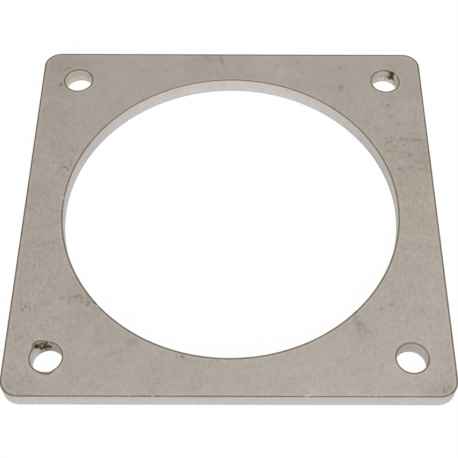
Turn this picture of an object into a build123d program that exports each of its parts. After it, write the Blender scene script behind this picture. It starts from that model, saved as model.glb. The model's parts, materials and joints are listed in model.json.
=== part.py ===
from build123d import *
from math import cos, radians, sin
import os

# A square flange laser cut from steel plate, with one wide bore and a bolt hole in each corner.
# It lies on its underside. The origin is on the bore's axis, level with the underside.
# +X points right, +Y to the back and +Z up. Lengths are in millimetres and angles in degrees.

# Plate
bore_diameter = 162.0
rim_width = 19.0            # metal between the bore and the middle of each side
thickness = 8.0
corner_radius = 8.5
entry_edge_radius = 0.25    # rounding that the beam leaves along the upper edges

# Bolt holes, a clear fit for M12 bolts
bolt_hole_diameter = 14.0
bolt_edge_distance = 19.0   # from a hole's centre to each of the two sides beside it

# Two places on the front left bolt hole's upper edge where the cut burnt out.
# Each mark is an angle about the hole and how far the melt ate past the wall there.
back_burn_marks = ((92, -0.3), (103, 0.7), (115, 1.4), (127, 1.85), (138, 1.4), (146, 0.4), (152, -0.3))
back_burn_depth = 3.4
front_burn_marks = ((248, -0.3), (258, 0.25), (268, 0.45), (276, 0.7), (284, 0.95), (292, 0.7), (303, -0.3))
front_burn_depth = 0.5
burn_foot_inset = 0.3       # how far inside the wall a burn's slope ends

bore_radius = bore_diameter / 2
bolt_hole_radius = bolt_hole_diameter / 2
side = bore_diameter + 2 * rim_width
bolt_pitch = side - 2 * bolt_edge_distance


def around(centre, radius, angle):
    """Point at this radius and angle about a centre."""
    return (centre[0] + radius * cos(radians(angle)), centre[1] + radius * sin(radians(angle)))


def burn_outline(hole_centre, level, reaches):
    """Sketch at this level, from the middle of a hole out to a melted edge."""
    with BuildSketch(Plane.XY.offset(level)) as outline:
        with BuildLine():
            edge = Spline(*(around(hole_centre, bolt_hole_radius + reach, angle) for angle, reach in reaches))
            Polyline(edge @ 1, hole_centre, edge @ 0)
        make_face()
    return outline.sketch


def cut_burn(hole_centre, marks, depth):
    """Cut a burnt-out slope that falls from the upper face to the wall of a hole."""
    mouth = burn_outline(hole_centre, thickness, marks)
    foot = burn_outline(hole_centre, thickness - depth, [(angle, -burn_foot_inset) for angle, reach in marks])
    loft([foot.face(), mouth.face()], ruled=True, mode=Mode.SUBTRACT)


os.makedirs("parts", exist_ok=True)

with BuildPart() as flange_plate:
    with BuildSketch():
        RectangleRounded(side, side, corner_radius)
        Circle(bore_radius, mode=Mode.SUBTRACT)
        with GridLocations(bolt_pitch, bolt_pitch, 2, 2):
            Circle(bolt_hole_radius, mode=Mode.SUBTRACT)
    extrude(amount=thickness)
    fillet(flange_plate.faces().sort_by(Axis.Z)[-1].edges(), entry_edge_radius)
    front_left_hole = (-bolt_pitch / 2, -bolt_pitch / 2)
    cut_burn(front_left_hole, back_burn_marks, back_burn_depth)
    cut_burn(front_left_hole, front_burn_marks, front_burn_depth)

flange_plate.part.label = "flange_plate"
export_step(flange_plate.part, "parts/flange_plate.step")
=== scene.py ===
import json
from math import cos, pi, radians, sin

import bmesh
import bpy
import numpy as np
from mathutils import Matrix, Vector, geometry, noise


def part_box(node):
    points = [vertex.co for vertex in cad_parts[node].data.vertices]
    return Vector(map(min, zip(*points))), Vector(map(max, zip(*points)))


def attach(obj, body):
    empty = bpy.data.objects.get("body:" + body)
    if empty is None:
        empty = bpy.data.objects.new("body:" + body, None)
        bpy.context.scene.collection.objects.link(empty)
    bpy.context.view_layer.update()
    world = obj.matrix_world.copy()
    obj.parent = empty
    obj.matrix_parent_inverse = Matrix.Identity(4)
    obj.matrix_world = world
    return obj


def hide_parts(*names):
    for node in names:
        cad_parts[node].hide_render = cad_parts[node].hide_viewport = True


# The laser cut flange is one piece of steel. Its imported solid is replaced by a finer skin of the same
# form, with the ripple of the cut walls, the burnt edge, the slag beads and the colours of the real plate.
# Lengths are in millimetres up to the making of the mesh. The mesh, the floor, the lamps and the camera
# are in metres.

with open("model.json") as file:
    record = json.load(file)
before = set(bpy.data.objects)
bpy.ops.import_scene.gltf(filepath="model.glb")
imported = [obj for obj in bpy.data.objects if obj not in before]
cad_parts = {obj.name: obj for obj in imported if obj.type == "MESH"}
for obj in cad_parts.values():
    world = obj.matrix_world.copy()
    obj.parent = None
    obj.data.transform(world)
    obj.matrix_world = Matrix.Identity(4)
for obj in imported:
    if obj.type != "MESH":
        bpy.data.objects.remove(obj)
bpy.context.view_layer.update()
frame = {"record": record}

# Sizes of the plate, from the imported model
plate_low, plate_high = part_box("flange_plate")
mounts = {mount["name"]: mount["dims"] for mount in frame["record"]["mounts"]}
SIDE = (plate_high.x - plate_low.x) * 1000
THICK = (plate_high.z - plate_low.z) * 1000
BORE_R = mounts["bore"]["r_mm"]
HOLE_R = mounts["bolt_holes"]["hole_r_mm"]
HOLE_AT = mounts["bolt_holes"]["spacing_x_mm"] / 2
CORNER_R = 8.5          # radius of the plate's corners, as in its source
EDGE_R = 0.25           # rounding of the upper cut edges, as in its source

# Sizes of the mesh
BAND = 3.0              # width of the strip of fine mesh beside each cut edge
BEVEL = 0.12            # height and width of the tiny bevel along the lower edges
BEVEL_MIDDLE = 0.04     # how far its middle lies in from the sharp corner, both ways
FACE_RINGS = (BAND, 2.3, 1.8, 1.4, 1.1, 0.9, 0.7, 0.55, 0.4, EDGE_R)    # distances in from a cut edge
EDGE_RINGS = (30, 60)   # degrees round the upper edge
UNDER_RINGS = (BEVEL, 0.4, 0.8, 1.3, 2.0, BAND)
OUTLINE_STEP = 0.8      # distances between the points along the outline and the bore
BORE_STEP = 0.6
MARK_GAP = 0.24         # least distance between the extra points where the marks are
STROKE_GAP = 0.4        # and their distance along a stroke
COARSE = np.arange(-92.5, 93, 5.0)      # lines of the coarse grid of points on both faces
CLEARANCE = 0.25        # least distance of the points on a face from the strips
MERGE = 1e-6            # distance below which the points of a face are taken as one
MARK_SEEN = 0.03        # least strength of a spot that gets mesh points of its own
SHARP_ANGLE = 50        # degrees between two faces from which they are shaded with an edge between them

# Ripple of the cut walls
RIPPLE_TOP = 0.008      # its depth at the upper edge
RIPPLE_GROWTH = 0.05    # and how much deeper it is at the foot
DRAG_LAG = 1.1          # how far the drag lines trail at the foot
DRAG_STRETCH = 0.06     # how far their pattern moves on with each millimetre of depth

# The heat line lies a little in from a cut edge. Distances that are counted in line positions are shares
# of that distance.
FAR = 9.0               # distance of a point far from every cut edge, counted in line positions
LINE_CHANGE = 0.08      # how much farther in the outline's line lies at the back, and how much nearer the
                        # edge a bolt hole's line lies at its left and right
ROUNDED_WALL = 0.6      # how much of the wall's colour the rounding of an upper edge takes
RIM_DARK, HOLE_RIM_DARK = 0.35, 0.75    # how dark that rounding is


# Paths round the cut edges

def outline_at(s):
    """Points and inward directions at these lengths along the outline, anticlockwise."""
    run = SIDE - 2 * CORNER_R
    arc = CORNER_R * pi / 2
    s = np.mod(s, 4 * (run + arc))
    turn, rest = np.divmod(s, run + arc)
    on_run = rest < run
    a = np.where(on_run, 0.0, (rest - run) / CORNER_R)
    half = SIDE / 2
    x = np.where(on_run, half, half - CORNER_R + CORNER_R * np.cos(a))
    y = np.where(on_run, rest - run / 2, half - CORNER_R + CORNER_R * np.sin(a))
    nx = np.where(on_run, -1.0, -np.cos(a))
    ny = np.where(on_run, 0.0, -np.sin(a))
    c, d = np.cos(turn * pi / 2), np.sin(turn * pi / 2)
    return np.stack([x * c - y * d, x * d + y * c], -1), np.stack([nx * c - ny * d, nx * d + ny * c], -1)


def circle_at(centre, radius):
    """The same for an opening, clockwise from its right side, so the steel stays on the left."""
    def at(s):
        a = -s / radius
        out = np.stack([np.cos(a), np.sin(a)], -1)
        return np.array(centre) + radius * out, out
    return at


def wave(points, scale, seed):
    """Smooth noise from about -1 to 1 at these points."""
    return np.array([noise.noise(Vector((p[0] * scale, p[1] * scale, seed))) for p in points]) * 1.6


def bell(x):
    """Bump of height 1 at 0 that falls away on both sides."""
    return np.exp(-x * x)


def smooth(low, high, x):
    """Rise from 0 to 1 between these two values, eased at both ends."""
    t = np.clip((x - low) / (high - low), 0, 1)
    return t * t * (3 - 2 * t)


def rgb(red, green, blue):
    """A colour written as a screen shows it, from 0 to 255, as the shader needs it."""
    def linear(value):
        value /= 255
        return value / 12.92 if value <= 0.04045 else ((value + 0.055) / 1.055) ** 2.4
    return linear(red), linear(green), linear(blue), 1.0


# What the beam and the melt did to the walls

def lag(depth):
    """How far a drag line trails along the cut at this depth."""
    return DRAG_LAG * (depth / THICK) ** 2


def ripple(at, s, depth):
    """Ripple of the cut wall, finest at the top."""
    points, _ = at(s - lag(depth))
    size = RIPPLE_TOP + RIPPLE_GROWTH * (depth / THICK) ** 1.5
    return size * np.clip(0.5 + 0.35 * wave(points, 0.9, 3.1) + 0.25 * wave(points, 2.3, 8.7), 0, None)


def angle_of(s, radius):
    """Angle in degrees, from -180 to 180, at these lengths round an opening of this radius."""
    return np.mod(-np.degrees(s / radius) + 180, 360) - 180


def apart(angle, other):
    """Signed difference of two angles in degrees."""
    return np.mod(angle - other + 180, 360) - 180


# The two burns of the front left hole, as (angle, reach past the wall)
BACK_BURN = (
    (86, 0.0), (92, 0.2), (103, 0.75), (115, 1.4), (122, 1.75), (128, 1.86), (133, 1.76), (138, 1.4),
    (142, 0.9), (146, 0.45), (151, 0.2), (156, 0.0))
FRONT_BURN = (
    (246, 0.0), (252, 0.2), (260, 0.33), (268, 0.45), (276, 0.7), (284, 1.0), (292, 0.74), (300, 0.2),
    (306, 0.0))
# The share of that reach which is left at each depth. At the front it is counted in shares of the burn's
# own depth, which is given as (angle, depth).
BACK_SLOPE = ((0.0, 1.0), (0.15, 0.93), (0.45, 0.72), (0.9, 0.52), (1.6, 0.36), (2.6, 0.17), (3.4, 0.0))
FRONT_SLOPE = ((0.0, 1.0), (0.25, 0.78), (0.5, 0.5), (0.75, 0.2), (1.0, 0.0))
FRONT_DEPTHS = ((240, 0.12), (260, 0.12), (268, 0.15), (276, 0.24), (284, 0.46), (292, 0.66), (300, 0.3))
REACH_STEPS, REACH_WINDOW = 200, 13     # steps along a burn, and how many of them are eased together


def reach(marks, angle):
    """Reach of a burn past the wall at these angles, eased between its marks."""
    at, far = np.array(marks, float).T
    dense = np.linspace(at[0], at[-1], REACH_STEPS)
    window = np.hanning(REACH_WINDOW)
    line = np.pad(np.interp(dense, at, far), len(window) // 2, mode="edge")
    line = np.convolve(line, window / window.sum(), "valid")
    return np.interp(np.mod(angle, 360), dense, line, left=0, right=0)


# Slag beads as (angle, depth, half width along the wall, half height, stands out by)
FRONT_LEFT_BEADS = (
    (132, 1.0, 0.65, 0.7, 0.4), (126, 1.9, 0.8, 0.9, 0.45), (115, 3.7, 0.65, 1.3, 0.4),
    (111, 1.9, 0.6, 0.8, 0.7), (103, 3.3, 0.7, 1.1, 0.55), (97, 1.2, 0.5, 1.5, 0.3),
    (94, 3.2, 0.6, 0.9, 0.3), (85.5, 3.4, 0.85, 1.3, 0.5))
BACK_RIGHT_BEADS = (
    (56, 0.9, 0.5, 1.1, 0.5), (49, 1.2, 0.5, 1.2, 0.4), (52, 2.7, 0.85, 0.9, 0.55), (60, 4.0, 0.85, 1.0, 0.5),
    (59, 4.6, 0.6, 0.6, 0.35), (68, 3.4, 0.5, 0.6, 0.25), (42, 3.5, 0.6, 0.8, 0.5), (66, 0.6, 0.3, 0.9, 0.2))

# Stains and slag colours, with a few painted highlights and painted light among them, as (angle, depth, half
# width, half height, turn, colour, strength), the lowest coat first. A depth below 0 is a distance out over
# the upper face.
FRONT_LEFT_PAINT = (
    # The first coat, near white at the foot of the left wall, is painted light from the floor
    (163, 4.8, 2.3, 3.6, 0, (212, 212, 211), 0.8), (160, 1.2, 1.8, 1.1, 0, (203, 190, 179), 0.7),
    (60, 3.8, 2.4, 3.7, 0, (171, 158, 149), 0.8), (112, 6.4, 2.2, 2.2, 0, (160, 150, 124), 0.7),
    (99, 5.9, 0.9, 2.0, 0, (124, 108, 93), 0.8), (114, 1.0, 1.9, 1.0, 0, (112, 104, 86), 0.9),
    (121, 0.1, 2.5, 0.4, 0, (138, 130, 107), 0.9), (118, -0.45, 2.2, 0.35, 0, (98, 91, 64), 0.7),
    (145, 0.4, 0.45, 0.9, 25, (126, 112, 101), 0.55), (84.5, 1.1, 0.8, 1.25, 0, (158, 150, 126), 0.9),
    (73.5, 0.2, 0.55, 1.1, 0, (122, 107, 91), 0.75), (110, 0.9, 0.8, 0.7, 0, (84, 77, 60), 0.9),
    (125, 1.6, 1.1, 1.35, 15, (84, 75, 54), 1.0), (132, 0.95, 0.85, 0.85, 0, (44, 34, 22), 1.0),
    (119, 2.6, 0.85, 1.0, 0, (86, 77, 66), 0.85), (115, 3.7, 0.9, 1.4, 0, (74, 64, 53), 1.0),
    (93, 3.1, 1.0, 1.2, 0, (80, 66, 50), 0.95), (95, 0.7, 0.85, 1.4, -20, (84, 68, 54), 0.95),
    (100, 2.1, 0.9, 1.3, -20, (74, 59, 49), 1.0),
    # The pale spot on the slag bead at 111 degrees is a painted highlight
    (103.5, 3.2, 1.1, 1.35, 0, (48, 33, 28), 1.0), (111, 1.8, 0.55, 0.6, 0, (122, 113, 106), 0.9),
    (85.5, 3.4, 1.15, 1.6, 0, (74, 63, 40), 1.0), (101, 4.8, 0.8, 1.0, 0, (94, 78, 64), 0.9),
    (262, -0.35, 2.0, 0.4, 0, (120, 97, 78), 0.5), (284, -0.35, 2.2, 0.4, 0, (108, 87, 69), 0.6),
    (281, 0.2, 2.0, 0.5, 0, (152, 136, 119), 0.9), (85, 6.1, 1.5, 1.5, 0, (152, 140, 132), 0.75))
BACK_RIGHT_PAINT = (
    (78, 2.8, 1.1, 3.9, 0, (192, 173, 153), 0.85), (76, -0.35, 1.5, 0.5, 0, (92, 76, 62), 0.95),
    # The pale coat at 33 degrees and depth 1.2 is a painted highlight
    (33, 1.2, 0.7, 1.6, 0, (210, 200, 191), 0.8), (116, 6.8, 1.6, 1.0, 0, (176, 173, 172), 0.5),
    (65.5, 0.5, 0.65, 1.5, 0, (116, 99, 80), 0.95), (68, 3.4, 0.8, 1.1, 0, (118, 102, 80), 0.9),
    (61, 3.9, 1.25, 1.3, 0, (116, 101, 75), 1.0), (60, 4.6, 0.9, 0.8, 0, (110, 96, 73), 1.0),
    (42, 3.5, 0.85, 1.15, 0, (80, 67, 57), 1.0), (52, 2.6, 1.2, 1.4, 0, (68, 56, 41), 1.0),
    (48, 0.7, 0.85, 1.9, 0, (88, 73, 58), 1.0), (56.5, 0.4, 0.75, 1.7, 0, (66, 49, 33), 1.0),
    # The pale coat at 68.5 degrees near the foot is a painted highlight
    (68.5, 5.8, 0.6, 0.55, 0, (206, 190, 175), 0.9), (33, 5.2, 1.4, 2.4, 0, (184, 172, 165), 0.6))

# Painted shade on the outer wall: its tone is darkened to this share of the plain tone
OUTLINE_PAINTED_SHADE = 0.92

# Painted light and shade on the bore's wall: how far it is lightened, as (angle, share of the plain tone),
# the painted shade near its foot, as (angle, share), and the depths between which the wall passes from one to
# the other
BORE_PAINTED_LIGHT = (
    (0, 1.12), (12, 1.11), (25, 1.08), (55, 1.08), (70, 1.06), (90, 1.01), (110, 1.02), (125, 1.04),
    (155, 1.03), (168, 1.11), (180, 1.12), (360, 1.12))
BORE_PAINTED_FOOT_SHADE = (
    (0, 0.9), (25, 0.88), (40, 0.93), (55, 0.97), (70, 1.0), (125, 0.99), (140, 0.97), (155, 0.95),
    (168, 0.98), (180, 1.0), (360, 0.9))
BORE_FOOT_FROM, BORE_FOOT_TO = 3.5, 6.0

# Painted light and shade for each bolt hole, mostly lightening its sides and its foot: its tone in the middle
# of its back, on its left and on its right, the share of that near its foot, the angles where its right,
# middle and left lie, and the depths
HOLE_PAINTED_LIGHT = {
    "front_left": (1.02, 1.42, 0.95, 1.02), "front_right": (0.88, 1.1, 1.24, 1.02),
    "back_left": (1.02, 1.28, 1.17, 1.2), "back_right": (1.07, 1.2, 1.28, 1.24)}
HOLE_TONE_ANGLES = (40, 100, 160)
HOLE_FOOT_FROM, HOLE_FOOT_TO = 3.0, 6.0

# The share of its size up to which a coat is whole, and at which it is gone, and how ragged it is
COAT_WHOLE, COAT_GONE = 0.7, 1.25
COAT_RAGGED = 0.22

# How sharply a broad area and a spot end
AREA_FALL, SPOT_FALL = 1.5, 1.3


def painted(paints, angle, depth):
    """Colour, weighted by its amount, and amount of the stains, slag, painted highlights and painted light at
    these places on a wall.
    """
    coat_and_painted_light = np.zeros((len(angle), 4))
    here = np.column_stack([np.radians(angle) * HOLE_R, np.broadcast_to(depth, len(angle))])
    ragged = [COAT_RAGGED * wave(here + shift, 1.1, 5.5) for shift in (0.0, 31.0)]
    for at, deep, wide, tall, turn, tone, strength in paints:
        c, d = cos(radians(turn)), sin(radians(turn))
        across = np.radians(apart(angle, at)) * HOLE_R + ragged[0]
        down = depth - deep + ragged[1]
        u, v = across * c + down * d, down * c - across * d
        amount = strength * (1 - smooth(COAT_WHOLE, COAT_GONE, np.hypot(u / wide, v / tall)))[:, None]
        coat_and_painted_light = coat_and_painted_light * (1 - amount) + np.array(rgb(*tone)) * amount
    return coat_and_painted_light


def beads(which, s, depth):
    """How far these slag beads stand out at these places on a hole's wall."""
    angle = angle_of(s, HOLE_R)
    height = np.zeros(len(s))
    for at, deep, wide, tall, out in which:
        along = np.radians(apart(angle, at)) * HOLE_R
        height += out * bell(along / wide) * bell((depth - deep) / tall)
    return height


# Each of the next three gives, for a row of points at one depth below the upper face, how far the steel is
# eaten away there, and how far slag stands out on it.

def front_left_eaten(s, depth):
    """The two burns and the slag of the front left hole."""
    angle = angle_of(s, HOLE_R)
    back = reach(BACK_BURN, angle) * np.interp(depth, *np.array(BACK_SLOPE).T, right=0)
    whole = np.interp(np.mod(angle, 360), *np.array(FRONT_DEPTHS).T)
    front = reach(FRONT_BURN, angle) * np.interp(depth / whole, *np.array(FRONT_SLOPE).T, right=0)
    slag = beads(FRONT_LEFT_BEADS, s, depth) * smooth(0.25, 0.9, depth)
    return back + front - slag, slag


def back_right_eaten(s, depth):
    """The slag of the back right hole, which is not burnt."""
    slag = beads(BACK_RIGHT_BEADS, s, depth) * smooth(0.0, 0.5, depth)
    return -slag, slag


def plain_eaten(s, depth):
    """Nothing, for the edges that were cut cleanly."""
    return np.zeros(len(s)), np.zeros(len(s))


# Small marks on the upper face: dark spots, and bare ones that are paler, as (x, y, half width, half
# height, turn in degrees, strength), and dark strokes as (half width, strength, points)
DARK_SPOTS = (
    # Back left corner and the back
    (-90, 78, 0.95, 1.3, 0, 1.3), (-91.7, 88.7, 0.6, 1.4, 0, 0.75), (-93.7, 87.7, 0.6, 0.8, 0, 0.35),
    (-87, 89.6, 1.3, 0.7, 0, 0.6), (-89, 88.2, 1.2, 1.4, 0, 0.2), (-77.3, 91, 0.8, 0.8, 0, 0.4),
    (-95.6, 80.8, 0.7, 0.7, 0, 0.4), (-93.2, 80.8, 0.6, 0.4, 0, 0.25), (-84, 92, 1.2, 0.5, 0, 0.25),
    (-97, 94, 0.5, 0.7, 30, 0.3), (-60.2, 80, 0.8, 0.8, 0, 0.4), (-13.6, 97.2, 1.3, 1.6, 0, 0.45),
    (-35.4, 88.3, 2.4, 0.7, -27, 0.35), (-47.6, 88, 1.1, 0.9, 0, 0.2), (14.5, 89.2, 0.5, 1.4, 0, 0.2),
    (23.7, 91.1, 0.9, 0.8, 0, 0.5), (22.1, 88.6, 0.5, 0.5, 0, 0.35), (34.6, 93.5, 0.5, 0.6, 0, 0.6),
    (37.9, 87, 1.3, 0.9, 0, 0.4), (37, 90.5, 1.2, 0.5, 10, 0.15), (48.3, 90.1, 1.1, 1.1, 0, 0.25),
    (46, 91, 0.9, 1.4, 0, 0.2), (57.7, 90.5, 0.9, 1.5, 0, 0.35), (60.2, 90.3, 0.4, 1.5, 0, 0.25),
    (57.4, 76.6, 1.0, 1.9, -12, 0.62), (58.8, 75, 3.6, 3.2, 0, 0.16), (61.6, 74, 0.7, 1.2, -10, 0.3),
    (65.2, 74.2, 0.8, 0.9, 0, 0.3), (69.8, 88.3, 0.8, 0.6, 0, 0.35), (68.8, 81.7, 1, 0.35, 0, 0.35),
    (55.6, 82.4, 0.4, 0.6, 0, 0.35),
    # Right side
    (81.2, 64.5, 0.85, 1.15, -20, 0.72), (81.1, 61.3, 0.8, 0.8, 0, 0.4), (82, 56.9, 1, 1.2, -20, 0.65),
    (84, 57.8, 0.8, 0.6, 0, 0.35), (85.6, 52.1, 0.7, 0.9, 0, 0.7), (87.1, 52.3, 0.6, 0.6, 0, 0.45),
    (87.4, 38.2, 0.8, 0.8, 0, 0.55), (90, 31.6, 1.9, 1.1, 10, 0.5), (86.3, 33.5, 1.4, 0.8, 0, 0.4),
    (94.2, 22.8, 0.9, 0.7, 0, 0.35), (83.5, 14, 1.1, 1.4, 0, 0.35), (97.5, 24, 0.5, 2.5, 0, 0.3),
    (92, 8, 2.2, 1.3, 0, 0.2), (90, -22.8, 0.8, 0.6, 0, 0.5), (82, -23, 1.4, 1.2, 0, 0.3),
    (83, -44, 1.8, 0.8, 0, 0.35), (87.9, -57.4, 0.4, 0.5, 0, 0.5), (82, -94, 0.5, 0.5, 0, 0.45),
    (93.2, -96.6, 0.55, 1.1, -15, 1.0), (95.4, -95.1, 0.4, 0.8, 20, 0.6), (96.3, -95.8, 0.4, 0.6, -30, 0.5),
    (94.8, -96.1, 0.4, 0.6, 0, 0.4), (94.2, -97.3, 1.3, 0.7, 30, 0.4), (73.6, -53.9, 0.9, 0.6, 10, 0.9),
    (69.2, -56, 1.3, 0.4, 45, 0.8),
    # Front right, beside the bore
    (57, -60.2, 0.9, 1.0, 0, 0.7), (56.2, -61.8, 0.9, 0.6, 30, 0.6), (58.8, -60, 0.5, 0.4, 0, 0.6),
    (57.5, -62.9, 1.2, 0.9, 0, 0.5), (58.5, -64.3, 1.4, 0.9, 0, 0.45), (60.3, -64.5, 0.4, 1, 0, 0.5),
    (61.3, -67, 0.8, 0.5, 40, 0.45), (62.3, -68.2, 0.5, 0.5, 0, 0.5), (60.8, -68.8, 0.5, 0.4, 0, 0.4),
    (63.8, -68.5, 0.5, 0.6, 0, 0.4), (58, -67, 2, 1.6, 0, 0.15), (59.5, -66, 3.5, 4.5, 20, 0.18),
    (57.2, -57.9, 1.0, 0.5, 45, 2.2), (52, -66.6, 2.2, 0.9, 40, 0.2), (67, -84.4, 0.8, 0.5, 0, 0.35),
    # Front
    (60.2, -96.9, 0.45, 0.7, 0, 0.7), (59, -97.7, 0.6, 0.4, 0, 0.45), (61.2, -87.6, 0.6, 0.6, 0, 0.25),
    (-5.5, -82.3, 0.5, 0.4, 0, 0.5), (-20.8, -80.4, 0.55, 0.55, 0, 2.0), (-23.5, -80.8, 0.35, 0.95, -8, 0.8),
    (-20.2, -82.1, 0.4, 0.3, 20, 0.45), (-17.4, -81.6, 0.35, 0.4, 0, 0.4), (-43.2, -73.6, 2.3, 2.3, 20, 0.42),
    (-60.1, -72.5, 0.6, 0.7, 0, 0.45), (-59.1, -66.4, 0.7, 0.6, 0, 0.35), (-97.2, -97, 1.3, 0.5, -45, 0.8),
    (-94.6, -98.6, 1.6, 0.4, -20, 0.45), (96.9, -97.1, 1.6, 0.6, 45, 0.5),
    # Left side
    (-92.7, -71.1, 0.7, 0.6, 0, 0.4), (-70, -52, 5.5, 2.0, -20, 0.13), (-83, 28, 4.5, 4.5, 0, 0.1),
    (-96.9, -66.3, 0.45, 0.6, 0, 0.5), (-92.4, -81.2, 1.2, 0.4, 0, 0.3),
    (-92.9, -55.5, 0.55, 0.85, 0, 1.3), (-94.3, -57, 0.4, 1.2, 10, 0.8), (-90.8, -56.5, 0.35, 1.3, 0, 0.45),
    (-95, -54.5, 0.4, 0.6, 0, 0.5), (-78, -50.9, 1, 0.4, 10, 0.5), (-76.3, -50.6, 0.8, 0.4, 20, 0.6),
    (-73.2, -50.9, 0.9, 0.7, 0, 0.5), (-73.5, -53.5, 0.5, 0.8, 0, 0.4), (-70.8, -50.3, 0.7, 0.9, 0, 0.8),
    (-69.3, -49.9, 1, 0.5, 0, 0.8), (-67.8, -51, 0.9, 0.6, -35, 0.75), (-67.5, -53, 1, 0.8, 0, 0.45),
    (-65.1, -51.0, 0.6, 1.3, 25, 0.8), (-64.3, -53.2, 1.0, 0.9, -30, 0.9), (-65, -54.6, 1.1, 0.6, 0, 0.9),
    (-61.7, -55.8, 0.5, 0.45, 0, 1.1), (-60.6, -56.1, 0.4, 0.4, 0, 1.4), (-61.8, -53.3, 1.0, 0.4, -50, 1.5),
    (-83.1, 23.7, 0.65, 0.55, 0, 1.6), (-81.9, 24.2, 0.5, 0.4, 20, 0.8), (-80.9, 22.2, 0.5, 0.9, -25, 1.5),
    (-80.1, 27, 0.5, 0.6, -30, 0.65), (-79.6, 25.2, 0.55, 0.5, 0, 1.3), (-84, 25.2, 0.4, 0.9, 0, 0.5),
    (-84.8, 23.3, 0.6, 0.6, 0, 0.5), (-88.3, 26.9, 1.3, 0.6, 0, 0.6), (-98.4, 27, 0.5, 1, 0, 0.7),
    (-91.6, 23, 0.7, 0.45, 0, 0.9), (-80, 34.8, 0.45, 0.9, 20, 0.9), (-84.5, 30.2, 0.7, 0.6, 0, 0.5),
    (-80.4, 30, 0.4, 0.6, 0, 0.5), (-96.4, 26.5, 0.35, 1.2, 0, 0.4), (-78.6, 32, 0.35, 0.9, 0, 0.35),
    (-91.4, 7.3, 0.6, 0.7, 0, 0.4))
DARK_STROKES = (
    (0.7, 0.5, ((-6.8, 98.8), (-5.9, 96.2))), (0.75, 0.6, ((-5.7, 95.8), (-5.1, 93.4))),
    (0.6, 0.35, ((-5, 93), (-4, 90))), (0.6, 0.15, ((-4, 90), (-2.2, 86.5))),
    (0.75, 0.6, ((78.5, 39.3), (80, 40), (82, 41))),
    (0.7, 0.25, ((77.5, 41.8), (80, 42.5), (82.5, 43.4), (84.5, 43.8))), (0.45, 0.35, ((84, 41.7), (87, 42))),
    (0.8, 0.5, ((86, 42.2), (90, 42.2), (92, 41.8), (95, 41.5))), (0.6, 0.25, ((95, 41.5), (99.3, 41.9))),
    (0.7, 0.3, ((76.8, 32.5), (77.8, 34.3), (80, 36.3), (84, 37.5))),
    (0.5, 0.3, ((81, 38.2), (83, 38.8), (85, 38.9))),
    (0.75, 0.27, ((79, 34.1), (82, 34.2), (85.5, 34.1), (88, 33.6), (90.5, 32.6))),
    (0.7, 0.2, ((80.5, 22.2), (84, 23.2))), (1.1, 0.35, ((84, 23.2), (86.5, 23.7), (89.5, 24.1))),
    (0.7, 0.2, ((89.5, 24.1), (92, 24), (94.2, 22.9), (97, 22.5), (99, 22))),
    (0.8, 0.25, ((92, 28), (96, 27.7), (99, 28))),
    (0.75, 0.3, ((-92, -21.4), (-90, -23), (-87.5, -21.6), (-84, -20.6))),
    (0.6, 0.3, ((-96, -27), (-94, -30.3))),
    (0.4, 0.45, ((-88, -83.5), (-88.4, -81), (-88.1, -79.2), (-87.6, -77.8))),
    (0.45, 0.3, ((-95, -98.7), (-85, -98.9))), (0.45, 0.35, ((-65.3, -49.2), (-63.7, -51.2), (-62.3, -53))),
    (0.4, 0.4, ((88.3, 80), (88, 78.4), (87.2, 76.8))))
BARE_SPOTS = (
    (34.1, -99.1, 1.0, 0.35, 20, 1.1), (35.6, -98.5, 0.7, 0.35, 20, 0.8), (60.5, -98.7, 0.32, 1.1, 0, 1.1),
    (63.4, -98.9, 0.5, 0.6, 0, 0.4), (66, -98.8, 0.4, 0.5, 0, 0.3), (-33, -99.4, 0.5, 0.35, 0, 0.7),
    (-43.4, -99.4, 0.4, 0.35, 0, 0.5), (-60.3, -55.2, 0.55, 0.5, -45, 0.8), (58.4, -57.7, 0.5, 0.4, 45, 0.6),
    (-81.6, 5, 0.4, 0.9, 0, 0.6), (-82.7, 25.4, 0.5, 0.4, 0, 0.5), (75.5, 66, 0.6, 0.8, 0, 0.4),
    (88.7, -75.4, 0.5, 0.6, 0, 0.6), (62.3, -68.9, 0.4, 0.5, 0, 0.35), (70.3, 83.9, 0.9, 0.8, 0, 0.25),
    (51.2, 81.6, 0.5, 0.4, 0, 0.25), (70.8, 93, 0.6, 0.7, 0, 0.25), (63.5, -81, 0.3, 1.6, 35, 0.25),
    (-48.2, -85.6, 0.3, 0.4, 0, 0.35), (25.2, 88.4, 0.25, 0.7, 0, 0.25), (34, 92.6, 0.3, 0.4, 0, 0.25))

# Broad areas of a slightly different tone, as (x, y, half width, half height, change of red, green and blue)
AREAS = (
    (88, 20, 26, 60, (0.0, 0.008, -0.016)), (20, -88, 60, 30, (-0.011, 0.007, 0.0)),
    (-48, 88, 34, 20, (-0.004, -0.012, 0.018)), (-92, 86, 14, 18, (-0.035, -0.012, -0.02)),
    (-92, -12, 14, 20, (-0.02, -0.02, -0.02)), (-94, -97, 10, 7, (-0.12, -0.12, -0.13)),
    (94, -97, 10, 7, (-0.11, -0.1, -0.12)), (-90, 93, 13, 9, (-0.05, -0.07, -0.09)),
    (-93, 55, 11, 9, (-0.08, -0.08, -0.1)), (-97, 5, 7, 8, (-0.09, -0.09, -0.1)),
    (98, 31, 5, 10, (-0.08, -0.09, -0.11)), (23, 91, 10, 13, (0.08, 0.08, 0.08)),
    (94, 61, 8, 8, (0.06, 0.06, 0.07)), (-71, -44, 6, 7, (-0.05, -0.04, -0.1)),
    (-93, 73, 13, 11, (-0.05, -0.07, -0.08)), (-90, 28.5, 13, 5, (0.06, 0.055, 0.065)),
    (-15, 98, 9, 5, (-0.05, -0.06, -0.08)), (98, -77, 5, 8, (-0.06, -0.05, -0.08)),
    (98, 5, 6, 9, (0.055, 0.06, 0.05)), (68, 74, 10, 8, (0.055, 0.05, 0.05)),
    (-50, -66, 9, 6, (-0.06, -0.055, -0.06)), (-63, 80, 8, 8, (0.045, 0.06, 0.055)))


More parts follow.
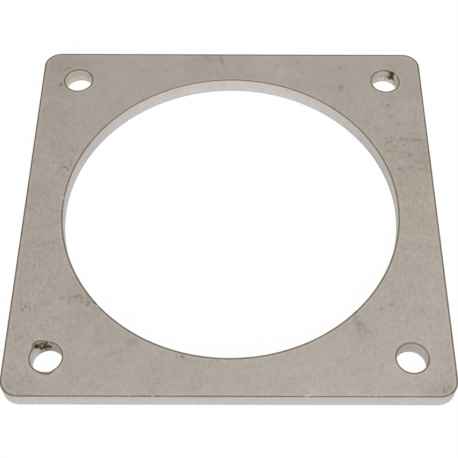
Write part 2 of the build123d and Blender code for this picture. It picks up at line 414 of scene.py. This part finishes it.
def hue_at(x, y):
    """Tone of the areas at these points, as a share of the plate's own."""
    hue = np.ones((len(x), 4))
    for across, along, wide, tall, change in AREAS:
        amount = np.exp(-(((x - across) / wide) ** 2 + ((y - along) / tall) ** 2) ** AREA_FALL)
        hue[:, :3] *= 1 + amount[:, None] * np.array(change)
    return hue


def spots_at(spots, x, y):
    """Strength of these spots at these points."""
    value = np.zeros(len(x))
    for across, along, wide, tall, turn, strength in spots:
        c, d = cos(radians(turn)), sin(radians(turn))
        u, v = (x - across) * c + (y - along) * d, (y - along) * c - (x - across) * d
        value += strength * np.exp(-((u / wide) ** 2 + (v / tall) ** 2) ** SPOT_FALL)
    return value


def strokes_at(strokes, x, y):
    """Strength of these strokes at these points."""
    value = np.zeros(len(x))
    for wide, strength, line in strokes:
        near = np.full(len(x), np.inf)
        for (ax, ay), (bx, by) in zip(line, line[1:]):
            run = (bx - ax) ** 2 + (by - ay) ** 2
            t = np.clip(((x - ax) * (bx - ax) + (y - ay) * (by - ay)) / run, 0, 1)
            near = np.minimum(near, np.hypot(x - ax - t * (bx - ax), y - ay - t * (by - ay)))
        value += strength * bell(near / wide)
    return value


def mark_points():
    """Extra mesh points where the marks are, so that each one has its own shape."""
    points = []
    for across, along, wide, tall, turn, _ in DARK_SPOTS + BARE_SPOTS:
        gap = max(MARK_GAP, min(wide, tall) / 2)
        far = 1.5 * max(wide, tall)
        u, v = (side.ravel() for side in np.meshgrid(*[np.arange(-far, far + gap, gap)] * 2))
        near = spots_at([(0, 0, wide, tall, turn, 1.0)], u, v) > MARK_SEEN
        points += zip(across + u[near], along + v[near])
    for wide, _, line in DARK_STROKES:
        for (ax, ay), (bx, by) in zip(line, line[1:]):
            length = np.hypot(bx - ax, by - ay)
            count = int(length / STROKE_GAP) + 1
            for t in np.arange(count) / count:
                for off in (-1.7, -0.85, 0, 0.85, 1.7):      # across the stroke, in half widths
                    points.append((ax + t * (bx - ax) - off * wide * (by - ay) / length,
                                   ay + t * (by - ay) + off * wide * (bx - ax) / length))
    return points


# Mesh

# What the material has to know of each point: its distances from the nearest upper and lower cut edge, the
# shares of wall, dark rim and bolt hole there, the painted light and shade of the wall, the slag, and the
# dark and bare marks
ATTRIBUTES = ("from_edge", "from_lower_edge", "wall", "rim", "hole", "light", "slag", "mark", "bare")
values = {name: [] for name in ATTRIBUTES}
vertices = []
faces = []
cutlines = []
coats_and_painted_light = []
hues = []


def add_vertices(xyz, **given):
    """Add these points, with what is given of their attributes, and return their numbers."""
    first = sum(len(v) for v in vertices)
    x, y, z = xyz.T
    if z.min() > THICK - EDGE_R:
        given["mark"] = spots_at(DARK_SPOTS, x, y) + strokes_at(DARK_STROKES, x, y)
        given["bare"] = spots_at(BARE_SPOTS, x, y)
    vertices.append(xyz)
    for name in values:
        values[name].append(np.broadcast_to(given.get(name, 0.0), len(xyz)).astype(float))
    cutlines.append(given.get("cutline", xyz))
    coats_and_painted_light.append(given.get("coat_and_painted_light", np.zeros((len(xyz), 4))))
    hues.append(hue_at(x, y))
    return np.arange(first, first + len(xyz))


def add_strip(at, s, levels, line_at, eaten_by, painted_light_at, paints=(), rim=RIM_DARK, hole=0.0):
    """Fine mesh down one cut edge: over the upper face, round the edge, down the wall and under it.

    The heat line lies line_at in from the edge, and rim is how dark the rounding is. The first and the last
    row of points, where the fill of each face begins, are returned.
    """
    points, into = at(s)
    rings = [(d, 0.0, "top") for d in FACE_RINGS]
    rings += [(EDGE_R * (1 - sin(radians(a))), EDGE_R * (1 - cos(radians(a))), "edge") for a in EDGE_RINGS]
    rings += [(0.0, EDGE_R + (THICK - BEVEL - EDGE_R) * k / levels, "wall") for k in range(levels + 1)]
    rings += [(BEVEL_MIDDLE, THICK - BEVEL_MIDDLE, "wall")]
    rings += [(d, THICK, "bottom") for d in UNDER_RINGS]
    rows = []
    for d, depth, zone in rings:
        eaten, slag = eaten_by(s, depth)
        eaten = eaten + ripple(at, s, min(depth, THICK - BEVEL))
        shift = d + eaten * (1 - d / BAND)
        xy = points + into * shift[:, None]
        z = np.full(len(s), THICK - depth)
        trail, _ = at(s - lag(depth))
        cutline = np.column_stack([trail, z * DRAG_STRETCH])
        clear = shift - eaten
        if zone == "top":
            given = {"from_edge": clear / line_at, "from_lower_edge": FAR}
        elif zone == "bottom":
            given = {"from_edge": FAR, "from_lower_edge": clear / line_at}
        else:
            given = {"from_edge": -depth, "from_lower_edge": depth - THICK, "slag": slag,
                     "wall": ROUNDED_WALL if zone == "edge" else 1.0, "rim": rim if zone == "edge" else 0.0}
        if paints:
            given["coat_and_painted_light"] = painted(paints, angle_of(s, HOLE_R), depth if zone == "wall" else -d)
        rows.append(add_vertices(np.column_stack([xy, z]), cutline=cutline, hole=hole,
                                 light=painted_light_at(s, depth), **given))
    for upper, lower in zip(rows, rows[1:]):
        faces.append(np.column_stack([upper, lower, np.roll(lower, -1), np.roll(upper, -1)]))
    return rows[0], rows[-1]


def outline_painted_shade(s, depth):
    """Painted shade on the outer wall, the same all round."""
    return OUTLINE_PAINTED_SHADE


def bore_painted_light(s, depth):
    """Painted light and shade on the bore's wall at these places."""
    angle = np.mod(angle_of(s, BORE_R), 360)
    tone, foot = (np.interp(angle, *np.array(table).T) for table in (BORE_PAINTED_LIGHT, BORE_PAINTED_FOOT_SHADE))
    return tone * (1 + (foot - 1) * smooth(BORE_FOOT_FROM, BORE_FOOT_TO, depth))


def hole_painted_light(tones):
    """Painted light and shade on a bolt hole's wall with these tones."""
    middle, left, right, foot = tones

    def at(s, depth):
        side = np.interp(np.mod(angle_of(s, HOLE_R), 360), HOLE_TONE_ANGLES, (right, middle, left))
        return side * (1 + (foot - 1) * smooth(HOLE_FOOT_FROM, HOLE_FOOT_TO, depth))
    return at


def steps(length, step):
    """Lengths along a closed path, about this step apart."""
    return np.arange(0, length, length / round(length / step))[:round(length / step)]


outline_steps = steps(4 * (SIDE - 2 * CORNER_R) + 2 * pi * CORNER_R, OUTLINE_STEP)
bore_steps = steps(2 * pi * BORE_R, BORE_STEP)
backward = smooth(70, 95, outline_at(outline_steps)[0][:, 1])    # 0 in front and 1 at the back
loops = [
    # The rim of the outline darkens towards the back: painted shade along the back edge
    add_strip(outline_at, outline_steps, levels=9, line_at=0.54 + LINE_CHANGE * backward,
              eaten_by=plain_eaten, painted_light_at=outline_painted_shade, rim=RIM_DARK + 0.3 * backward),
    add_strip(circle_at((0, 0), BORE_R), bore_steps, levels=9, line_at=0.56, eaten_by=plain_eaten,
              painted_light_at=bore_painted_light)]

# Each bolt hole's place, name, step, rows of points down its wall, line, burns and slag, and coats
for x, y, which, step, levels, line_at, eaten_by, paints in (
        (-HOLE_AT, -HOLE_AT, "front_left", 0.19, 32, 0.6, front_left_eaten, FRONT_LEFT_PAINT),
        (HOLE_AT, HOLE_AT, "back_right", 0.19, 32, 0.68, back_right_eaten, BACK_RIGHT_PAINT),
        (-HOLE_AT, HOLE_AT, "back_left", 0.3, 10, 0.68, plain_eaten, ()),
        (HOLE_AT, -HOLE_AT, "front_right", 0.3, 10, 0.6, plain_eaten, ())):
    hole_steps = steps(2 * pi * HOLE_R, step)
    line_at = line_at - LINE_CHANGE * np.cos(hole_steps / HOLE_R) ** 2
    loops.append(add_strip(circle_at((x, y), HOLE_R), hole_steps, levels, line_at, eaten_by,
                           hole_painted_light(HOLE_PAINTED_LIGHT[which]), paints, rim=HOLE_RIM_DARK, hole=1.0))


def clear_of_openings(x, y, margin):
    """True where a point of the face lies outside the strips round the bore and the bolt holes."""
    if np.hypot(x, y) < BORE_R + BAND + margin:
        return False
    return np.hypot(abs(x) - HOLE_AT, abs(y) - HOLE_AT) > HOLE_R + BAND + margin


def inside_outline(x, y, margin):
    """True where a point of the face lies inside the strip along the outline."""
    corner = SIDE / 2 - CORNER_R
    over_x, over_y = max(abs(x) - corner, 0), max(abs(y) - corner, 0)
    if over_x and over_y:
        return np.hypot(over_x, over_y) < CORNER_R - BAND - margin
    return max(over_x, over_y) < CORNER_R - BAND - margin


def fill(which, z, flip):
    """Close one face of the plate between the strips, whose edges there are in place which of each loop."""
    everything = np.concatenate(vertices)
    rings = [loop[which] for loop in loops]
    ids = np.concatenate(rings)
    flat = [Vector(p[:2]) for p in everything[ids]]
    edges, start = [], 0
    for ring in rings:
        n = len(ring)
        edges += [(start + i, start + (i + 1) % n) for i in range(n)]
        start += n
    grid = [(x, y) for x in COARSE for y in COARSE]
    if z > 0:
        grid += list({(round(x / MARK_GAP), round(y / MARK_GAP)): (x, y) for x, y in mark_points()}.values())
    grid = [(x, y) for x, y in grid if clear_of_openings(x, y, CLEARANCE) and inside_outline(x, y, CLEARANCE)]
    new = add_vertices(np.array([(x, y, z) for x, y in grid]), from_edge=FAR, from_lower_edge=FAR)
    flat += [Vector(p) for p in grid]
    ids = np.concatenate([ids, new])
    out_points, _, triangles, sources, _, _ = geometry.delaunay_2d_cdt(flat, edges, [], 0, MERGE)
    back = [source[0] for source in sources]
    kept = []
    for triangle in triangles:
        corners = [out_points[k] for k in triangle]
        x, y = sum(p.x for p in corners) / 3, sum(p.y for p in corners) / 3
        if clear_of_openings(x, y, 0):
            kept.append([ids[back[k]] for k in (triangle if not flip else triangle[::-1])])
    return np.array(kept)


faces += [fill(0, THICK, False), fill(1, 0.0, True)]

skin_mesh = bpy.data.meshes.new("flange_skin")
all_faces = [tuple(int(i) for i in face) for group in faces for face in group]
skin_mesh.from_pydata((np.concatenate(vertices) / 1000).tolist(), [], all_faces)
layers = [(name, "FLOAT", "value", rows) for name, rows in values.items()]
layers += [("cutline", "FLOAT_VECTOR", "vector", cutlines), ("coat_and_painted_light", "FLOAT_COLOR", "color", coats_and_painted_light),
           ("hue", "FLOAT_COLOR", "color", hues)]
for name, kind, field, rows in layers:
    skin_mesh.attributes.new(name, kind, "POINT").data.foreach_set(field, np.concatenate(rows).ravel())
for polygon in skin_mesh.polygons:
    polygon.use_smooth = True
skin_mesh.set_sharp_from_angle(angle=radians(SHARP_ANGLE))
skin = bpy.data.objects.new("flange_skin", skin_mesh)
bpy.context.scene.collection.objects.link(skin)

# Is the skin closed?
check = bmesh.new()
check.from_mesh(skin_mesh)
open_edges = sum(1 for edge in check.edges if len(edge.link_faces) != 2)
print("skin:", len(check.verts), "points", len(skin_mesh.polygons), "faces", open_edges, "open edges",
      "volume", round(check.calc_volume() * 1e9), "mm3",
      "triangles", sum(len(p.vertices) - 2 for p in skin_mesh.polygons))
check.free()


# Material nodes

BLACK = (0.0, 0.0, 0.0, 1.0)
WHITE = (1.0, 1.0, 1.0, 1.0)


class Graph:
    """Short names for making the shader nodes of a material or a world."""

    def __init__(self, owner):
        owner.use_nodes = True
        self.tree = owner.node_tree
        self.tree.nodes.clear()

    def node(self, kind, **settings):
        """Add a node with these settings."""
        made = self.tree.nodes.new(kind)
        for name, value in settings.items():
            setattr(made, name, value)
        return made

    def put(self, socket, value):
        """Link an output to a socket, or write a plain value into it."""
        if isinstance(value, bpy.types.NodeSocket):
            self.tree.links.new(value, socket)
        else:
            socket.default_value = value

    def math(self, operation, *values):
        """Arithmetic on numbers."""
        made = self.node("ShaderNodeMath", operation=operation)
        for socket, value in zip(made.inputs, values):
            self.put(socket, value)
        return made.outputs[0]

    def vector(self, operation, *values):
        """Arithmetic on vectors."""
        made = self.node("ShaderNodeVectorMath", operation=operation)
        for socket, value in zip(made.inputs, values):
            self.put(socket, value)
        return made.outputs["Vector"]

    def attribute(self, name, output="Fac"):
        """What the mesh knows of a point."""
        return self.node("ShaderNodeAttribute", attribute_name=name).outputs[output]

    def noise(self, vector, scale, detail=2.0, rough=0.5):
        """Smooth noise from 0 to 1."""
        made = self.node("ShaderNodeTexNoise")
        self.put(made.inputs["Vector"], vector)
        made.inputs["Scale"].default_value = scale
        made.inputs["Detail"].default_value = detail
        made.inputs["Roughness"].default_value = rough
        return made.outputs["Fac"]

    def vary(self, noise, amount, base=1.0):
        """A base that noise moves up and down about its middle."""
        return self.math("MULTIPLY_ADD", self.math("SUBTRACT", noise, 0.5), amount, base)

    def range(self, value, low, high, to_low=0.0, to_high=1.0, eased=True):
        """Map a value from one range to another, eased or straight, and held at both ends."""
        made = self.node("ShaderNodeMapRange", interpolation_type="SMOOTHSTEP" if eased else "LINEAR")
        for socket, given in zip(made.inputs, (value, low, high, to_low, to_high)):
            self.put(socket, given)
        return made.outputs[0]

    def mix(self, amount, first, second, blend="MIX"):
        """Mix two colours."""
        made = self.node("ShaderNodeMix", data_type="RGBA", blend_type=blend)
        self.put(made.inputs[0], amount)
        self.put(made.inputs[6], first)     # the node's own sockets for colours
        self.put(made.inputs[7], second)
        return made.outputs[2]

    def scaled(self, colour, share):
        """A colour times a share that may go past 1."""
        made = self.mix(share, BLACK, colour)
        made.node.clamp_factor = False
        return made

    def direct(self):
        """1 where the background is seen: by the camera, in a reflection or through glass."""
        path = self.node("ShaderNodeLightPath").outputs
        seen = self.math("MAXIMUM", path["Is Camera Ray"], path["Is Glossy Ray"])
        return self.math("MAXIMUM", seen, path["Is Transmission Ray"])

    def blended(self, amount, first, second):
        """Mix two shaders."""
        made = self.node("ShaderNodeMixShader")
        for socket, value in zip(made.inputs, (amount, first, second)):
            self.put(socket, value)
        return made.outputs[0]

    def finish(self, kind, shader):
        """Make this shader the surface of the material or of the world."""
        self.put(self.node(kind).inputs["Surface"], shader)


# Colours of the steel
FACE, FACE_TINT = rgb(165.5, 158.0, 149.1), rgb(166.7, 157.7, 150.1)
HEAT_LINE, PALE_BAND = rgb(105, 94, 83), rgb(178, 169, 156)
DARK_MARK, BARE_MARK = rgb(70, 64, 56), rgb(205, 197, 184)
WALL_BELOW, WALL_ABOVE = rgb(192, 188, 185), rgb(190, 183, 177)
# Bolt hole walls are greyer and paler below, the paleness partly painted light from the floor
HOLE_BELOW, HOLE_ABOVE = rgb(190, 185, 181), rgb(184, 176, 166)
# Painted shade at the foot of every wall, beside the floor
WALL_FOOT_SHADE = rgb(162, 158, 154)
RIM = rgb(96, 86, 76)

steel = bpy.data.materials.new("steel")
g = Graph(steel)
place = g.vector("SCALE", g.node("ShaderNodeTexCoord").outputs["Object"])
place.node.inputs["Scale"].default_value = 1000.0       # millimetres again
from_edge, from_lower_edge, wall, rim, hole, light, slag, mark, bare = map(g.attribute, ATTRIBUTES)
cut = g.attribute("cutline", "Vector")
parts_of_place = g.node("ShaderNodeSeparateXYZ")
g.put(parts_of_place.inputs[0], place)
along, across, height = parts_of_place.outputs

# Rolled face: grain that weakens towards the back, cloudy patches and a faint change of tint
streaks = g.noise(g.vector("MULTIPLY", place, (1.0, 0.16, 1.0)), 1.25, 2.0, 0.6)
specks = g.noise(place, 0.7, 3.0, 0.65)
clouds = g.noise(place, 0.11, 3.0, 0.55)
patches = g.noise(place, 0.028, 2.0, 0.5)
tint = g.noise(g.vector("ADD", place, (40.0, 15.0, 7.0)), 0.09, 2.0, 0.5)
on_sides = g.math("MULTIPLY", g.range(g.math("ABSOLUTE", along), 66.0, 84.0),
                  g.range(across, 60.0, 80.0, 1.0, 0.0))
grain = g.math("MULTIPLY_ADD", on_sides, 0.32, g.range(across, 60.0, 84.0, 1.0, 0.6))
fine = g.math("ADD", g.vary(streaks, 0.26, 0.0), g.vary(specks, 0.42, 0.0))
shade = g.math("MULTIPLY_ADD", fine, grain, 1.0)
shade = g.vary(clouds, 0.13, shade)
shade = g.vary(patches, 0.12, shade)
face = g.mix(g.range(tint, 0.35, 0.65), FACE, FACE_TINT)
face = g.mix(1.0, face, g.attribute("hue", "Color"), "MULTIPLY")

# Heat line beside every cut edge, with a slightly paler and warmer band on its inner side
wander = g.noise(place, 0.5, 2.0, 0.6)
line_noise = g.noise(place, 0.16, 3.0, 0.6)
LINE_RISE, LINE_FALL = (0.1, 0.7), (1.15, 1.9)      # where they rise and fall, counted in line positions
BAND_RISE, BAND_FALL = (1.2, 1.8), (2.4, 4.6)
UNDER_SHARE = 0.8                                   # how strong both are on the underside


def heat_line(distance):
    """Strength of the dark line and of the pale band at this distance from a cut edge."""
    moved = g.vary(wander, 0.35, distance)
    moved = g.math("ADD", moved, g.math("MULTIPLY", hole, 0.2))
    line = g.math("MULTIPLY", g.range(moved, *LINE_RISE), g.range(moved, *LINE_FALL, 1.0, 0.0))
    band = g.math("MULTIPLY", g.range(moved, *BAND_RISE), g.range(moved, *BAND_FALL, 1.0, 0.0))
    return line, band


line, band = heat_line(from_edge)
line_under, band_under = heat_line(from_lower_edge)
line = g.math("MAXIMUM", line, g.math("MULTIPLY", line_under, UNDER_SHARE))
band = g.math("MAXIMUM", band, g.math("MULTIPLY", band_under, UNDER_SHARE))
line_strength = g.math("MULTIPLY", line, g.range(line_noise, 0.3, 0.7, 0.8, 1.0))
face = g.mix(g.math("MULTIPLY", band, 0.4), face, PALE_BAND)
face = g.scaled(face, shade)

# Spots, smudges and scratches, ragged at their edges, and a few places where the line is bare
mark_noise = g.noise(place, 1.1, 2.0, 0.6)
speckle = g.noise(place, 1.8, 2.0, 0.6)
marked = g.math("MULTIPLY", mark, g.range(speckle, 0.3, 0.6, 0.4, 1.3))
bare_amount = g.math("MULTIPLY", bare, g.range(mark_noise, 0.25, 0.6, 0.7, 1.1))
line_strength = g.math("MULTIPLY", line_strength, g.math("SUBTRACT", 1.0, bare_amount))
line_strength.node.use_clamp = True
face = g.mix(line_strength, face, HEAT_LINE)
face = g.mix(g.math("MULTIPLY", marked, 0.47), face, DARK_MARK)
face = g.mix(g.math("MULTIPLY", bare_amount, 0.7), face, BARE_MARK)

# Cut wall: drag lines that trail towards the underside, pinkish above and greyer below, paler low in the bolt
# holes partly as painted light from the floor, and darkened at the foot with painted shade
drag = g.noise(cut, 2.4, 3.0, 0.65)
broad = g.noise(cut, 0.35, 2.0, 0.5)
drag_depth = g.range(height, 0.0, 8.0, 1.0, 0.35, False)
wall_shade = g.math("MULTIPLY_ADD", g.vary(drag, drag_depth, 0.0), 0.42, 1.0)
wall_shade = g.vary(broad, 0.14, wall_shade)
wall_tone_and_painted_light = g.mix(g.range(height, 1.0, 6.5), WALL_BELOW, WALL_ABOVE)
hole_tone_and_painted_light = g.mix(g.range(height, 0.5, 5.0), HOLE_BELOW, HOLE_ABOVE)
wall_tone_and_painted_light = g.mix(hole, wall_tone_and_painted_light, hole_tone_and_painted_light)
# Painted shade: darker towards the foot of the wall
wall_tone_and_painted_light = g.mix(g.range(height, 0.1, 1.2, 0.5, 0.0), wall_tone_and_painted_light, WALL_FOOT_SHADE)
# The wall's colour is scaled by its painted light and shade
wall_tone_and_painted_light = g.scaled(wall_tone_and_painted_light, g.math("MULTIPLY", wall_shade, light))

# Dark rim, and the coats of slag and stain, with a few painted highlights and painted light among them, whose
# colours are already weighted by their amount
slag_noise = g.noise(place, 1.3, 3.0, 0.6)
slag_amount = g.range(g.vary(slag_noise, 0.3, slag), 0.08, 0.28)
coat_and_painted_light = g.attribute("coat_and_painted_light", "Color")
coat_and_painted_light_amount = coat_and_painted_light.node.outputs["Alpha"]
coat_and_painted_light = g.scaled(coat_and_painted_light, g.vary(slag_noise, 0.9))

colour = g.mix(wall, face, wall_tone_and_painted_light)
colour = g.mix(rim, colour, RIM)
colour = g.mix(coat_and_painted_light_amount, colour, BLACK)
colour = g.mix(1.0, colour, coat_and_painted_light, "ADD")

shader = g.node("ShaderNodeBsdfPrincipled")
g.put(shader.inputs["Base Color"], colour)
metal = g.math("MULTIPLY", g.range(slag_amount, 0.0, 1.0, 1.0, 0.3), g.range(wall, 0.0, 1.0, 0.95, 0.45))
g.put(shader.inputs["Metallic"], metal)
shader.inputs["Specular IOR Level"].default_value = 0.1     # low, so that slag and stains stay dark
rough = g.vary(specks, 0.15, 0.5)
g.put(shader.inputs["Roughness"], g.math("ADD", rough, g.math("MULTIPLY", wall, 0.08)))

# Bump of the grain and of the drag lines
bump = g.node("ShaderNodeBump")
bump.inputs["Strength"].default_value = 0.35
bump.inputs["Distance"].default_value = 0.00006
face_bump = g.math("ADD", g.math("MULTIPLY", streaks, 0.6), g.math("MULTIPLY", specks, 0.4))
wall_bump = g.math("MULTIPLY", g.math("MULTIPLY", drag, drag_depth), 2.0)
wall_mix = g.node("ShaderNodeMix", data_type="FLOAT")
g.put(wall_mix.inputs[0], wall)
g.put(wall_mix.inputs[2], face_bump)
g.put(wall_mix.inputs[3], wall_bump)
g.put(bump.inputs["Height"], wall_mix.outputs[0])
g.put(shader.inputs["Normal"], bump.outputs[0])
g.finish("ShaderNodeOutputMaterial", shader.outputs[0])
skin_mesh.materials.append(steel)

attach(skin, "root")
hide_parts("flange_plate")


# Floor, light and camera

HALF_FLOOR = 4.0            # metres
FLOOR_DROP = 0.00005        # just below the plate, so that the two faces don't meet
WHITE_SHARE = 0.975         # how much of the seen floor is plain white, with the rest left for its shadow
ROOM_LIGHT = 0.42           # strength of the world's light on the object

floor_mesh = bpy.data.meshes.new("floor")
corners = [(x * HALF_FLOOR, y * HALF_FLOOR, 0) for x, y in ((-1, -1), (1, -1), (1, 1), (-1, 1))]
floor_mesh.from_pydata(corners, [], [(0, 1, 2, 3)])
floor = bpy.data.objects.new("floor", floor_mesh)
floor.location.z = -FLOOR_DROP
bpy.context.scene.collection.objects.link(floor)
pale = bpy.data.materials.new("pale_floor")
f = Graph(pale)
diffuse = f.node("ShaderNodeBsdfDiffuse")
diffuse.inputs["Color"].default_value = (0.95, 0.95, 0.95, 1.0)
glow = f.node("ShaderNodeEmission")
glow.inputs["Strength"].default_value = 1.0
surface = f.blended(f.math("MULTIPLY", f.direct(), WHITE_SHARE), diffuse.outputs[0], glow.outputs[0])
f.finish("ShaderNodeOutputMaterial", surface)
floor_mesh.materials.append(pale)

world = bpy.data.worlds.new("studio")
bpy.context.scene.world = world
w = Graph(world)
room, backdrop = w.node("ShaderNodeBackground"), w.node("ShaderNodeBackground")
room.inputs["Strength"].default_value = ROOM_LIGHT
for background in (room, backdrop):
    background.inputs["Color"].default_value = WHITE
surface = w.blended(w.direct(), room.outputs[0], backdrop.outputs[0])
w.finish("ShaderNodeOutputWorld", surface)


def add_lamp(name, place, size, power):
    """A soft disk of light at this place, turned to the plate."""
    data = bpy.data.lights.new(name, "AREA")
    data.shape = "DISK"
    data.size = size
    data.energy = power
    lamp = bpy.data.objects.new(name, data)
    lamp.location = place
    lamp.rotation_euler = (-Vector(place)).to_track_quat("-Z", "Y").to_euler()
    bpy.context.scene.collection.objects.link(lamp)


# Each lamp's place and width in metres, and its power in watts
add_lamp("front_light", (0.28, -2.6, 1.12), 6.0, 136.0)
add_lamp("top_light", (0.35, 0.0, 1.7), 1.0, 2.8)

# The camera that took the photograph, worked out from the plate's edges, bore and holes
CAMERA_AT = (0.005025, -0.276805, 0.407535)
pitch, yaw, roll = 1.001031, 0.007016, 0.008478
forward = Vector((sin(yaw) * cos(pitch), cos(yaw) * cos(pitch), -sin(pitch)))
level = Vector((cos(yaw), -sin(yaw), 0.0))
up = level.cross(forward)
right = level * cos(roll) + up * sin(roll)
up = up * cos(roll) - level * sin(roll)
camera_data = bpy.data.cameras.new("camera")
camera_data.sensor_width = 36.0
camera_data.lens = 78.702
camera_data.shift_x = -0.03456
camera_data.shift_y = 0.03057
camera = bpy.data.objects.new("camera", camera_data)
turn = Matrix((right, up, -forward)).transposed().to_4x4()
camera.matrix_world = Matrix.Translation(CAMERA_AT) @ turn
bpy.context.scene.collection.objects.link(camera)
bpy.context.scene.camera = camera
bpy.context.scene.view_settings.view_transform = "Standard"
